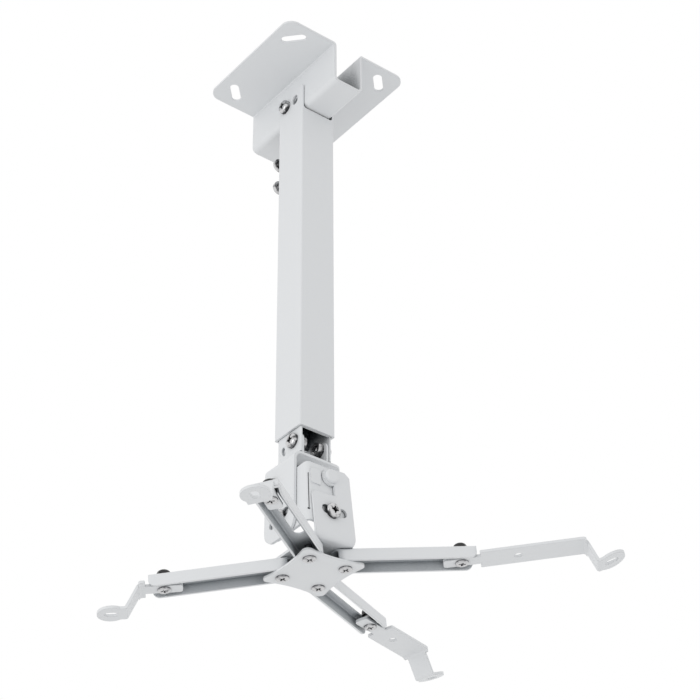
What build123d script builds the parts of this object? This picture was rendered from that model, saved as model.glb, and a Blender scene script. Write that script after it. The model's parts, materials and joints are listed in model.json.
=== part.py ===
from build123d import *
import math
import os

# Projector ceiling mount, in millimetres.
# +Z is up, and the origin is the centre of the ceiling bracket's upper face.
# The arms spread below a square telescopic column, and -X -Y faces the viewer.

# Ceiling bracket, one folded sheet
BRACKET_SHEET = 1.8
BRACKET_WIDTH = 113.4
BRACKET_LENGTH = 106.8
BRACKET_CORNER = 9.0
CHANNEL_DEPTH = 38.3
FOLD_RADIUS = 2.6
CEILING_SLOT_X = 41.2
CEILING_SLOT_Y = 38.6
CEILING_SLOT_LENGTH = 19.4
CEILING_SLOT_WIDTH = 7.0
BRACKET_NOTCH = 2.4

# Square tubes
OUTER_SIDE = 30.0
TUBE_WALL = 1.5
OUTER_CORNER = 1.0
FOOT_REACH = 19.8
EAR_TOP_Z = -16.0
EAR_FRONT_RADIUS = 1.5
EAR_REAR_RADIUS = 4.5
EAR_GAP = 0.3
WALL_GAP = 1.0
INNER_SIDE = 26.4
INNER_CORNER = 1.0
INNER_LENGTH = 298.2
INNER_TOP_MARGIN = 9.0
INNER_WALL_CUT = 20.0

# Tilt of the column on the ceiling bracket
TOP_TILT_Y = 6.6
TOP_TILT_Z = -25.9
TOP_SLOT_RADIUS = 11.9
TOP_SLOT_SWING = 6.0

# Height screws, sliding in a long slot in the column's rear wall
HEIGHT_SCREW_Z = -58.4
HEIGHT_SCREW_PITCH = 22.4
HEIGHT_TRAVEL = 210.0
HEIGHT_SCREW_PROUD = 18.1

# Lower tilt joint, in the inner tube's ears
LOW_TILT_Y = -4.6
LOW_TILT_RISE = 11.3
LOW_SLOT_RADIUS = 11.6
LOW_SLOT_MIDDLE = -17.0
LOW_SLOT_SWING = 10.0
LOW_SLOT_WIDTH = 3.4
CRADLE_SHEET = 1.8
CRADLE_DEPTH = 24.8
CRADLE_TOP_RADIUS = 5.4
SIDE_GAP = 0.3

# Swivel head, an angle of roof and one leg
HEAD_SHEET = 2.0
HEAD_DROP = 3.3
HEAD_HALF_WIDTH = 21.0
HEAD_DEPTH = 33.4
HEAD_HEIGHT = 62.1
HEAD_FOLD = 4.5
HEAD_ROOF_CORNER = 7.0
HEAD_LEG_CORNER = 10.0

# Pitch and roll joints, and the angles at which the head is set
PITCH_Y = 7.5
PITCH_DROP = 18.6
PITCH_SET = -2.7
PITCH_CLAMP_Y = 0.0
PITCH_CLAMP_DROP = 28.9
ROLL_DROP = 23.1
ROLL_SET = -4.0
ROLL_CLAMP_RADIUS = 27.2
SET_SWING = 15.0

# Block between pitch and roll: a side flange and a front panel
BLOCK_SHEET = 2.0
BLOCK_FRONT_Y = -27.5
BLOCK_EAR_RADIUS = 8.5
BLOCK_EAR_INSET = 2.0
BLOCK_CORNER = 8.0
BLOCK_RIGHT_X = 17.4
BLOCK_RISE = 8.0
BLOCK_DROP = 37.5
BLOCK_FOLD = 1.5
PANEL_LEFT_X = -16.0
PANEL_RIGHT_X = -7.4
PANEL_TOP_RISE = 3.5
PANEL_HEIGHT = 12.0
PANEL_RISE = 0.8
SEAM_X = -17.0
SEAM_WIDTH = 0.6
SEAM_DROP = 1.0
SEAM_HEIGHT = 28.0
SEAM_HOLE = 1.8

# Deck: the roll plate and its base, above the arms
DECK_SHEET = 2.0
DECK_LEFT_X = -17.0
DECK_RIGHT_X = 15.8
DECK_STEP_X = 2.0
DECK_LEFT_DROP = 14.3
DECK_RISE = 6.7
DECK_SHOULDER_X = 11.8
DECK_SHOULDER_DROP = 3.5
DECK_LOBE = 6.5
DECK_CORNER = 2.5
DECK_FOLD = 2.5
DECK_BASE_MARGIN = 5.0

# Spider plate under the arms
SPIDER_SHEET = 1.5
SPIDER_X = 1.2
SPIDER_Y = -1.0
SPIDER_DROP = 58.9
SPIDER_TIP = 27.1
SPIDER_WAIST = 22.6
CORNER_SCREW = 15.0

# Arms, channels open downward
ARM_SHEET = 1.5
ARM_WIDTH = 19.0
ARM_DEPTH = 9.5
ARM_LENGTH = 88.5
ARM_LOCK_INSET = 9.3
ARM_SLOT_START = 17.0
ARM_SLOT_WIDTH = 7.0
ARM_END_RADIUS = 5.5

# Extension bars, swinging on the lock screws
BAR_SHEET = 2.0
BAR_TONGUE_WIDTH = 10.0
BAR_TONGUE = 12.5
BAR_SHOULDER = 12.6
BAR_BODY_WIDTH = 21.0
BAR_LIFT = 1.2
BAR_STEP_WIDTH = 15.0
BAR_STEP_DROP = 16.5
BAR_PAD_LENGTH = 20.0
BAR_PAD_WIDTH = 19.0
BAR_HOLE = 5.6
BAR_HOLE_RUN = 3.5
BAR_FOLD = 2.0

# Screws: shank, head across, head height
M6 = 6.0
M6_HEAD = 11.0
M6_HEAD_HEIGHT = 4.2
M6_NUT_ACROSS = 10.0
M6_NUT_HEIGHT = 5.0
M5 = 5.0
M5_HEAD = 9.2
M5_HEAD_HEIGHT = 1.4
M8 = 8.0
M8_HEAD_ACROSS = 13.0
M8_HEAD_HEIGHT = 5.3
M8_NUT_HEIGHT = 5.0
M6_LOW_HEAD_HEIGHT = 3.36
SCREW_TAIL = 1.0
TILT_BOLT_TAIL = 1.5
THIN_NUT_SAVING = 0.5
WASHER_HEIGHT = 1.2
TILT_WASHER = 12.0
HEIGHT_WASHER = 13.0
SWIVEL_WASHER = 16.0
LOCK_SLEEVE = 9.0
HOLE_PLAY = 0.3
RUNNING_PLAY = 0.05
KNOB_WIDTH = 10.5
KNOB_HEIGHT = 5.6
KNOB_FLANGE = 1.6
LOCK_REACH = 4.5

# Rivet of the roll joint: head and tail across, and their heights
RIVET_HEAD = 10.4
RIVET_HEAD_HEIGHT = 2.6
RIVET_ROUNDING = 1.6
RIVET_TAIL = 9.2
RIVET_TAIL_HEIGHT = 1.6

# Arms: name, corner signs, channel angle, bar swing,
# then the bar's flat length, the run of its step, its pad's lift and its spare hole from the lock screw
ARMS = (
    ("left", (-1, 1), 136.2, 9.0, 16.0, 9.0, 0.0, 0.0),
    ("front", (-1, -1), 215.4, 2.0, 17.5, 9.0, 0.0, 0.0),
    ("right", (1, -1), -30.9, -13.0, 83.0, 6.0, 18.0, 38.0),
    ("rear", (1, 1), 25.0, -7.0, 60.0, 9.0, 18.0, 29.5),
)

# Values that follow from the ones above
CHANNEL_WIDTH = OUTER_SIDE - 2 * TUBE_WALL - 2 * EAR_GAP
ARM_LOCK = ARM_LENGTH - ARM_LOCK_INSET
EAR_INNER = OUTER_SIDE / 2 - TUBE_WALL
WALL_TOP_Z = -(CHANNEL_DEPTH + WALL_GAP)
INNER_TOP_Z = HEIGHT_SCREW_Z + INNER_TOP_MARGIN
EAR_BOTTOM_Z = INNER_TOP_Z - INNER_LENGTH
OUTER_BOTTOM_Z = EAR_BOTTOM_Z + FOOT_REACH
LOW_TILT_Z = EAR_BOTTOM_Z + LOW_TILT_RISE
HEAD_TOP_Z = EAR_BOTTOM_Z - HEAD_DROP
HEAD_BOTTOM_Z = HEAD_TOP_Z - HEAD_HEIGHT
PITCH_Z = HEAD_TOP_Z - PITCH_DROP
PITCH_CLAMP_Z = PITCH_Z - PITCH_CLAMP_DROP
ROLL_Z = HEAD_TOP_Z - ROLL_DROP
BLOCK_TOP_Z = ROLL_Z + BLOCK_RISE
BLOCK_BOTTOM_Z = ROLL_Z - BLOCK_DROP
DECK_TOP_Z = ROLL_Z + DECK_RISE
DECK_LEFT_TOP_Z = ROLL_Z - DECK_LEFT_DROP
SPIDER_BOTTOM_Z = ROLL_Z - SPIDER_DROP
INNER_EAR = INNER_SIDE / 2 - TUBE_WALL
CRADLE_HALF = INNER_EAR - SIDE_GAP
LEG_INNER = HEAD_HALF_WIDTH - HEAD_SHEET
BLOCK_LEFT_X = -(LEG_INNER - SIDE_GAP)
DECK_FRONT_Y = BLOCK_FRONT_Y - SIDE_GAP - DECK_SHEET
SPIDER_TOP_Z = SPIDER_BOTTOM_Z + SPIDER_SHEET
ARM_TOP_Z = SPIDER_TOP_Z + ARM_DEPTH
DECK_HALF_BASE = CORNER_SCREW + DECK_BASE_MARGIN
PITCH_CLAMP_RADIUS = math.hypot(PITCH_CLAMP_Y - PITCH_Y, PITCH_CLAMP_Z - PITCH_Z)
PITCH_CLAMP_ANGLE = math.degrees(math.atan2(PITCH_CLAMP_Z - PITCH_Z, PITCH_CLAMP_Y - PITCH_Y))


def drill(x, y, z, direction, diameter, length):
    """A round cutter centred on a point, along a direction."""
    plane = Plane((x, y, z), z_dir=direction)
    return plane * Cylinder(diameter / 2, length)


def folded(points, fold, sheet, side):
    """Section face of a sheet folded along a polyline, kept on one side of it."""
    path = FilletPolyline(*points, radius=fold)
    face = Face(path.wire().offset_2d(sheet, side=side))
    return -face if face.normal_at().Z < 0 else face


def arc_slot(radius, middle, swing, width):
    """Sketch of a slot that follows an arc about the origin, middle in degrees from +X."""
    centre = CenterArc((0, 0), radius, middle - swing, 2 * swing)
    return SlotArc(centre, width)


def cross_recess(diameter, depth):
    """Cutter for a cross drive, pointing down from the top of a head at the origin."""
    arm = Box(diameter * 0.52, diameter * 0.11, depth, align=(Align.CENTER, Align.CENTER, Align.MAX))
    centre = Cone(diameter * 0.06, diameter * 0.16, depth, align=(Align.CENTER, Align.CENTER, Align.MAX))
    return arm + arm.rotate(Axis.Z, 90) + centre


def pan_screw(shank, head, height, length):
    """Pan-head screw with its seat at the origin, the head up and the shank down."""
    crown = Cylinder(head / 2, height, align=(Align.CENTER, Align.CENTER, Align.MIN))
    crown = fillet(crown.edges().group_by(Axis.Z)[-1], height * 0.55)
    crown -= Pos(0, 0, height) * cross_recess(head, height * 0.55)
    stem = Cylinder(shank / 2, length, align=(Align.CENTER, Align.CENTER, Align.MAX))
    stem = chamfer(stem.edges().group_by(Axis.Z)[0], shank * 0.1)
    return crown + stem


def hex_nut(across, height, bore):
    """Hexagon nut standing on the origin."""
    body = extrude(RegularPolygon(across / 2, 6, major_radius=False), height)
    rounding = Cylinder(across * 0.56, height, align=(Align.CENTER, Align.CENTER, Align.MIN))
    rounding = chamfer(rounding.edges(), across * 0.05)
    return (body & rounding) - Cylinder(bore / 2 + RUNNING_PLAY, 3 * height)


def washer(outer, bore, height):
    """Plain washer standing on the origin."""
    ring = Cylinder(outer / 2, height, align=(Align.CENTER, Align.CENTER, Align.MIN))
    return ring - Cylinder(bore / 2, 3 * height)


def facing(x, y, z, direction):
    """Location whose +Z points along a direction from a point."""
    return Plane((x, y, z), z_dir=direction).location


def ceiling_bracket():
    """Top-hat bracket: two flanges on the ceiling and a channel that hangs between them."""
    half = BRACKET_WIDTH / 2
    web = CHANNEL_WIDTH / 2
    points = ((-half, 0), (-web + BRACKET_SHEET, 0), (-web + BRACKET_SHEET, -CHANNEL_DEPTH + BRACKET_SHEET),
              (web - BRACKET_SHEET, -CHANNEL_DEPTH + BRACKET_SHEET), (web - BRACKET_SHEET, 0), (half, 0))
    section = folded(points, FOLD_RADIUS, BRACKET_SHEET, Side.RIGHT)
    plane = Plane((0, BRACKET_LENGTH / 2, 0), x_dir=(1, 0, 0), z_dir=(0, -1, 0))
    body = extrude(plane * section, BRACKET_LENGTH)
    plan = RectangleRounded(BRACKET_WIDTH, BRACKET_LENGTH, BRACKET_CORNER)
    body &= Pos(0, 0, -CHANNEL_DEPTH - 1) * extrude(plan, CHANNEL_DEPTH + 2)
    for sx in (-1, 1):
        for sy in (-1, 1):
            turn = math.degrees(math.atan2(sy * CEILING_SLOT_Y, sx * CEILING_SLOT_X)) + 90
            slot = Rot(0, 0, turn) * SlotOverall(CEILING_SLOT_LENGTH, CEILING_SLOT_WIDTH)
            place = Pos(sx * CEILING_SLOT_X, sy * CEILING_SLOT_Y, -2 * BRACKET_SHEET)
            body -= place * extrude(slot, 3 * BRACKET_SHEET)
    body -= drill(0, TOP_TILT_Y, TOP_TILT_Z, (1, 0, 0), M6 + 2 * RUNNING_PLAY, CHANNEL_WIDTH + 2)
    body -= drill(0, TOP_TILT_Y - TOP_SLOT_RADIUS, TOP_TILT_Z, (1, 0, 0), M6 + HOLE_PLAY, CHANNEL_WIDTH + 2)
    notch = drill(0, -BRACKET_LENGTH / 2, -CHANNEL_DEPTH, (1, 0, 0), BRACKET_NOTCH, 2 * BRACKET_SHEET)
    return body - Pos(-web, 0, 0) * notch


def square_tube(side, corner, top, bottom):
    """Square tube with rounded corners between two heights."""
    outer = RectangleRounded(side, side, corner)
    bore = RectangleRounded(side - 2 * TUBE_WALL, side - 2 * TUBE_WALL, max(corner - TUBE_WALL, 0.5))
    return Pos(0, 0, bottom) * extrude(outer - bore, top - bottom)


def outer_tube():
    """Column: its side walls rise as ears beside the channel, its rear wall has the height slot."""
    tube = square_tube(OUTER_SIDE, OUTER_CORNER, EAR_TOP_Z, OUTER_BOTTOM_Z)
    gap_height = EAR_TOP_Z - WALL_TOP_Z + 2
    between = Box(2 * EAR_INNER, OUTER_SIDE + 2, gap_height, align=(Align.CENTER, Align.CENTER, Align.MIN))
    between = fillet(between.edges().filter_by(Axis.Y).group_by(Axis.Z)[0], 2.0)
    tube -= Pos(0, 0, WALL_TOP_Z) * between
    keep = Rectangle(OUTER_SIDE, EAR_TOP_Z - OUTER_BOTTOM_Z + OUTER_SIDE, align=(Align.CENTER, Align.MAX))
    keep = fillet(keep.vertices().group_by(Axis.Y)[-1].sort_by(Axis.X)[0], EAR_FRONT_RADIUS)
    keep = fillet(keep.vertices().group_by(Axis.Y)[-1].sort_by(Axis.X)[-1], EAR_REAR_RADIUS)
    side_view = Plane((-OUTER_SIDE, 0, EAR_TOP_Z), x_dir=(0, 1, 0), z_dir=(1, 0, 0))
    tube &= extrude(side_view * keep, 2 * OUTER_SIDE)
    tube -= drill(0, TOP_TILT_Y, TOP_TILT_Z, (1, 0, 0), M6 + 2 * RUNNING_PLAY, OUTER_SIDE + 2)
    slot = arc_slot(TOP_SLOT_RADIUS, 180, TOP_SLOT_SWING, M6 + HOLE_PLAY)
    view = Plane((-OUTER_SIDE, TOP_TILT_Y, TOP_TILT_Z), x_dir=(0, 1, 0), z_dir=(1, 0, 0))
    tube -= extrude(view * slot, 2 * OUTER_SIDE)
    slot_top = HEIGHT_SCREW_Z + M6
    slot_bottom = HEIGHT_SCREW_Z - HEIGHT_SCREW_PITCH - HEIGHT_TRAVEL - M6
    rear = Plane((0, 0, (slot_top + slot_bottom) / 2), x_dir=(0, 0, 1), z_dir=(0, 1, 0))
    return tube - extrude(rear * SlotOverall(slot_top - slot_bottom, M6 + 2 * HOLE_PLAY), OUTER_SIDE)


def inner_tube():
    """Sliding tube: its front and rear walls are cut away at the foot to leave two ears."""
    tube = square_tube(INNER_SIDE, INNER_CORNER, INNER_TOP_Z, EAR_BOTTOM_Z)
    cut_top = EAR_BOTTOM_Z + INNER_WALL_CUT
    window = Box(2 * INNER_EAR, INNER_SIDE + 2, INNER_WALL_CUT + 2, align=(Align.CENTER, Align.CENTER, Align.MAX))
    tube -= Pos(0, 0, cut_top) * window
    tube -= drill(0, LOW_TILT_Y, LOW_TILT_Z, (1, 0, 0), M6 + HOLE_PLAY, INNER_SIDE + 2)
    slot = arc_slot(LOW_SLOT_RADIUS, LOW_SLOT_MIDDLE, LOW_SLOT_SWING, LOW_SLOT_WIDTH)
    view = Plane((-INNER_SIDE, LOW_TILT_Y, LOW_TILT_Z), x_dir=(0, 1, 0), z_dir=(1, 0, 0))
    tube -= extrude(view * slot, 2 * INNER_SIDE)
    for z in height_rows():
        tube -= drill(0, INNER_SIDE / 2, z, (0, 1, 0), M6 + HOLE_PLAY, 3 * TUBE_WALL)
    return tube


def tilt_bolt():
    """Long pan-head bolt through both ears and the channel, on which the column tilts."""
    length = OUTER_SIDE + 2 * WASHER_HEIGHT + M6_NUT_HEIGHT + TILT_BOLT_TAIL
    screw = pan_screw(M6, M6_HEAD, M6_HEAD_HEIGHT, length - WASHER_HEIGHT)
    return facing(-OUTER_SIDE / 2, TOP_TILT_Y, TOP_TILT_Z, (-1, 0, 0)) * screw


def tilt_nut():
    """Nut at the far end of the tilt bolt."""
    nut = hex_nut(M6_NUT_ACROSS, M6_NUT_HEIGHT, M6)
    return facing(OUTER_SIDE / 2 + WASHER_HEIGHT, TOP_TILT_Y, TOP_TILT_Z, (1, 0, 0)) * nut


def tilt_washer():
    """Washer under the tilt bolt's nut."""
    ring = washer(TILT_WASHER, M6 + HOLE_PLAY, WASHER_HEIGHT)
    return facing(OUTER_SIDE / 2, TOP_TILT_Y, TOP_TILT_Z, (1, 0, 0)) * ring


def height_rows():
    """Heights of the two height screws."""
    return [HEIGHT_SCREW_Z - index * HEIGHT_SCREW_PITCH for index in range(2)]


def height_screws():
    """Two screws from the rear, through the slot into the inner tube."""
    reach = OUTER_SIDE / 2 - INNER_SIDE / 2 + TUBE_WALL + M6_NUT_HEIGHT + HEIGHT_SCREW_PROUD + SCREW_TAIL
    screw = pan_screw(M6, M6_HEAD, M6_HEAD_HEIGHT, reach)
    return [facing(0, OUTER_SIDE / 2 + HEIGHT_SCREW_PROUD, z, (0, 1, 0)) * screw for z in height_rows()]


def height_washers():
    """Washers that bear on the two sides of the height slot."""
    ring = washer(HEIGHT_WASHER, M6 + HOLE_PLAY, WASHER_HEIGHT)
    return [facing(0, OUTER_SIDE / 2, z, (0, 1, 0)) * ring for z in height_rows()]


def height_nuts():
    """Nuts behind the inner tube's wall that hold the height screws."""
    nut = hex_nut(M6_NUT_ACROSS, M6_NUT_HEIGHT, M6)
    return [facing(0, INNER_SIDE / 2 - TUBE_WALL, z, (0, -1, 0)) * nut for z in height_rows()]


def low_pivot_screws():
    """One short screw through each ear and the leg of the cradle inside it."""
    reach = TUBE_WALL + SIDE_GAP + CRADLE_SHEET + M6_NUT_HEIGHT
    screw = pan_screw(M6, M6_HEAD, M6_LOW_HEAD_HEIGHT, reach)
    return [facing(side * INNER_SIDE / 2, LOW_TILT_Y, LOW_TILT_Z, (side, 0, 0)) * screw for side in (-1, 1)]


def low_pivot_nuts():
    """Nuts inside the cradle."""
    nut = hex_nut(M6_NUT_ACROSS, M6_NUT_HEIGHT - THIN_NUT_SAVING, M6)
    inner = CRADLE_HALF - CRADLE_SHEET
    return [facing(side * inner, LOW_TILT_Y, LOW_TILT_Z, (-side, 0, 0)) * nut for side in (-1, 1)]


def tilt_cradle():
    """Small upright channel that tilts between the ears and carries the swivel bolt."""
    top = LOW_TILT_Z + CRADLE_TOP_RADIUS
    points = ((-CRADLE_HALF, top), (-CRADLE_HALF, HEAD_TOP_Z), (CRADLE_HALF, HEAD_TOP_Z), (CRADLE_HALF, top))
    section = folded(points, FOLD_RADIUS, CRADLE_SHEET, Side.LEFT)
    plane = Plane((0, CRADLE_DEPTH / 2, 0), x_dir=(1, 0, 0), z_dir=(0, -1, 0))
    body = extrude(plane * section, CRADLE_DEPTH)
    outline = Rectangle(CRADLE_DEPTH, top - HEAD_TOP_Z, align=(Align.CENTER, Align.MIN))
    outline = fillet(outline.vertices().group_by(Axis.Y)[-1], CRADLE_TOP_RADIUS)
    view = Plane((-CRADLE_HALF - 1, 0, HEAD_TOP_Z), x_dir=(0, 1, 0), z_dir=(1, 0, 0))
    body &= extrude(view * outline, 2 * CRADLE_HALF + 2)
    body -= drill(0, LOW_TILT_Y, LOW_TILT_Z, (1, 0, 0), M6 + 2 * RUNNING_PLAY, 2 * CRADLE_HALF + 2)
    body -= drill(0, 0, HEAD_TOP_Z, (0, 0, 1), M8 + HOLE_PLAY, 8 * CRADLE_SHEET)
    return body


def swivel_bolt():
    """Hexagon bolt from below, the axis on which the head turns."""
    head = extrude(RegularPolygon(M8_HEAD_ACROSS / 2, 6, major_radius=False), -M8_HEAD_HEIGHT)
    stem_length = WASHER_HEIGHT * 2 + HEAD_SHEET + CRADLE_SHEET + M8_NUT_HEIGHT
    stem = Cylinder(M8 / 2, stem_length, align=(Align.CENTER, Align.CENTER, Align.MIN))
    return Pos(0, 0, HEAD_TOP_Z - HEAD_SHEET - WASHER_HEIGHT) * (head + stem)


def swivel_washers():
    """A washer under the bolt's head and one under its nut."""
    ring = washer(SWIVEL_WASHER, M8 + HOLE_PLAY, WASHER_HEIGHT)
    lower = Pos(0, 0, HEAD_TOP_Z - HEAD_SHEET - WASHER_HEIGHT) * ring
    upper = Pos(0, 0, HEAD_TOP_Z + CRADLE_SHEET) * ring
    return [lower, upper]


def swivel_nut():
    """Thin nut of the swivel bolt, inside the cradle."""
    nut = hex_nut(M8_HEAD_ACROSS, M8_NUT_HEIGHT - 0.6, M8)
    return Pos(0, 0, HEAD_TOP_Z + CRADLE_SHEET + WASHER_HEIGHT) * nut


def swivel_head():
    """Angle of a flat roof and one broad leg, which carries the pitch joint."""
    right = HEAD_HALF_WIDTH
    points = ((right, HEAD_TOP_Z), (-right, HEAD_TOP_Z), (-right, HEAD_BOTTOM_Z))
    section = folded(points, HEAD_FOLD + HEAD_SHEET, HEAD_SHEET, Side.LEFT)
    plane = Plane((0, HEAD_DEPTH / 2, 0), x_dir=(1, 0, 0), z_dir=(0, -1, 0))
    body = extrude(plane * section, HEAD_DEPTH)
    roof = body.edges().filter_by(Axis.Z).group_by(Axis.X)[-1]
    body = fillet(roof, HEAD_ROOF_CORNER)
    foot = body.edges().filter_by(Axis.X).group_by(Axis.Z)[0]
    body = fillet(foot, HEAD_LEG_CORNER)
    body -= drill(0, 0, HEAD_TOP_Z, (0, 0, 1), M8 + 2 * RUNNING_PLAY, 4 * HEAD_SHEET)
    body -= drill(-right, PITCH_Y, PITCH_Z, (1, 0, 0), M6 + HOLE_PLAY, 4 * HEAD_SHEET)
    slot = arc_slot(PITCH_CLAMP_RADIUS, PITCH_CLAMP_ANGLE, SET_SWING, M6 + 2 * HOLE_PLAY)
    view = Plane((-right - HEAD_SHEET, PITCH_Y, PITCH_Z), x_dir=(0, 1, 0), z_dir=(1, 0, 0))
    return body - extrude(view * slot, 3 * HEAD_SHEET)


def pitched(shape):
    """Turn a shape to the angle at which the pitch joint is set."""
    return shape.rotate(Axis((0, PITCH_Y, PITCH_Z), (1, 0, 0)), PITCH_SET)


def rolled(shape):
    """Turn a shape to the angles at which the roll and the pitch joints are set."""
    return pitched(shape.rotate(Axis((0, 0, ROLL_Z), (0, 1, 0)), ROLL_SET))


def tilt_block():
    """Corner piece between pitch and roll: a side flange with an ear, and a front panel with a raised field."""
    rear_y = PITCH_Y + BLOCK_EAR_RADIUS - BLOCK_EAR_INSET
    ear_top_z = PITCH_Z + BLOCK_EAR_RADIUS
    points = ((BLOCK_LEFT_X, rear_y + BLOCK_EAR_INSET), (BLOCK_LEFT_X, BLOCK_FRONT_Y),
              (BLOCK_RIGHT_X, BLOCK_FRONT_Y))
    section = folded(points, BLOCK_FOLD + BLOCK_SHEET, BLOCK_SHEET, Side.LEFT)
    body = Pos(0, 0, BLOCK_BOTTOM_Z) * extrude(section, ear_top_z - BLOCK_BOTTOM_Z)
    flange_height = BLOCK_TOP_Z - BLOCK_BOTTOM_Z
    flange = Rectangle(rear_y - BLOCK_FRONT_Y, flange_height, align=(Align.MIN, Align.MAX))
    flange = Pos(BLOCK_FRONT_Y, BLOCK_TOP_Z) * flange
    flange = fillet(flange.vertices().group_by(Axis.Y)[0].sort_by(Axis.X)[-1], BLOCK_CORNER)
    outline = flange + Pos(PITCH_Y, PITCH_Z) * Circle(BLOCK_EAR_RADIUS)
    view = Plane((BLOCK_LEFT_X - 1, 0, 0), x_dir=(0, 1, 0), z_dir=(1, 0, 0))
    body &= extrude(view * outline, BLOCK_RIGHT_X - BLOCK_LEFT_X + 2)
    right = body.edges().filter_by(Axis.Y).group_by(Axis.X)[-1]
    body = fillet(right, BLOCK_CORNER)
    width = PANEL_RIGHT_X - PANEL_LEFT_X
    middle_z = ROLL_Z + PANEL_TOP_RISE - PANEL_HEIGHT / 2
    front = Plane((0, BLOCK_FRONT_Y, 0), x_dir=(1, 0, 0), z_dir=(0, -1, 0))
    field = Pos(PANEL_LEFT_X + width / 2, middle_z) * RectangleRounded(width, PANEL_HEIGHT, BLOCK_FOLD)
    body += extrude(front * field, PANEL_RISE)
    seam_top = ROLL_Z - SEAM_DROP
    slit = Box(SEAM_WIDTH, 6 * BLOCK_SHEET, SEAM_HEIGHT, align=(Align.CENTER, Align.CENTER, Align.MAX))
    body -= Pos(SEAM_X, BLOCK_FRONT_Y, seam_top) * slit
    body -= drill(SEAM_X, BLOCK_FRONT_Y, seam_top - SEAM_HEIGHT, (0, 1, 0), SEAM_HOLE, 6 * BLOCK_SHEET)
    body -= drill(BLOCK_LEFT_X, PITCH_Y, PITCH_Z, (1, 0, 0), M6 + 2 * RUNNING_PLAY, 4 * BLOCK_SHEET)
    body -= drill(BLOCK_LEFT_X, PITCH_CLAMP_Y, PITCH_CLAMP_Z, (1, 0, 0), M6 + HOLE_PLAY, 4 * BLOCK_SHEET)
    body -= drill(0, BLOCK_FRONT_Y, ROLL_Z, (0, 1, 0), M6 + HOLE_PLAY, 4 * BLOCK_SHEET)
    body -= drill(0, BLOCK_FRONT_Y, ROLL_Z - ROLL_CLAMP_RADIUS, (0, 1, 0), M6 + HOLE_PLAY, 4 * BLOCK_SHEET)
    return pitched(body)


def pitch_screw():
    """Pitch pivot screw, from the outside of the leg."""
    reach = HEAD_SHEET + SIDE_GAP + BLOCK_SHEET + M6_NUT_HEIGHT + SCREW_TAIL
    screw = pan_screw(M6, M6_HEAD, M6_LOW_HEAD_HEIGHT, reach)
    return facing(-HEAD_HALF_WIDTH, PITCH_Y, PITCH_Z, (-1, 0, 0)) * screw


def pitch_nut():
    """Nut of the pitch pivot, on the inside of the block's flange."""
    nut = hex_nut(M6_NUT_ACROSS, M6_NUT_HEIGHT, M6)
    return facing(BLOCK_LEFT_X + BLOCK_SHEET, PITCH_Y, PITCH_Z, (1, 0, 0)) * nut


def pitch_clamp_screw():
    """Pitch clamp screw, which moves with the block along the leg's arc slot."""
    reach = HEAD_SHEET + SIDE_GAP + BLOCK_SHEET + M6_NUT_HEIGHT + SCREW_TAIL
    screw = pan_screw(M6, M6_HEAD, M6_LOW_HEAD_HEIGHT, reach)
    return pitched(facing(-HEAD_HALF_WIDTH, PITCH_CLAMP_Y, PITCH_CLAMP_Z, (-1, 0, 0)) * screw)


def pitch_clamp_nut():
    """Nut of the pitch clamp screw."""
    nut = hex_nut(M6_NUT_ACROSS, M6_NUT_HEIGHT, M6)
    return pitched(facing(BLOCK_LEFT_X + BLOCK_SHEET, PITCH_CLAMP_Y, PITCH_CLAMP_Z, (1, 0, 0)) * nut)


def roll_pivot():
    """Round-headed rivet on which the deck rolls, its tail spread behind the panel."""
    head = Cylinder(RIVET_HEAD / 2, RIVET_HEAD_HEIGHT, align=(Align.CENTER, Align.CENTER, Align.MIN))
    head = fillet(head.edges().group_by(Axis.Z)[-1], RIVET_ROUNDING)
    stem_length = DECK_SHEET + SIDE_GAP + BLOCK_SHEET
    stem = Cylinder(M6 / 2, stem_length, align=(Align.CENTER, Align.CENTER, Align.MAX))
    tail = Cylinder(RIVET_TAIL / 2, RIVET_TAIL_HEIGHT, align=(Align.CENTER, Align.CENTER, Align.MAX))
    tail = Pos(0, 0, -stem_length) * tail
    return pitched(facing(0, DECK_FRONT_Y, ROLL_Z, (0, -1, 0)) * (head + stem + tail))


def roll_clamp_screw():
    """Roll clamp screw, held in the block's panel and seen in the deck's arc slot."""
    reach = DECK_SHEET + SIDE_GAP + BLOCK_SHEET + M6_NUT_HEIGHT + SCREW_TAIL
    screw = pan_screw(M6, M6_HEAD, M6_LOW_HEAD_HEIGHT, reach)
    return pitched(facing(0, DECK_FRONT_Y, ROLL_Z - ROLL_CLAMP_RADIUS, (0, -1, 0)) * screw)


def roll_clamp_nut():
    """Nut of the roll clamp screw, behind the panel."""
    nut = hex_nut(M6_NUT_ACROSS, M6_NUT_HEIGHT, M6)
    place = facing(0, BLOCK_FRONT_Y + BLOCK_SHEET, ROLL_Z - ROLL_CLAMP_RADIUS, (0, 1, 0))
    return pitched(place * nut)


def corner(sx, sy):
    """Plan position of a corner screw, in the deck's frame."""
    return SPIDER_X + sx * CORNER_SCREW, SPIDER_Y + sy * CORNER_SCREW


def corners():
    """Plan positions of the four corner screws."""
    return [corner(sx, sy) for sx in (-1, 1) for sy in (-1, 1)]


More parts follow.
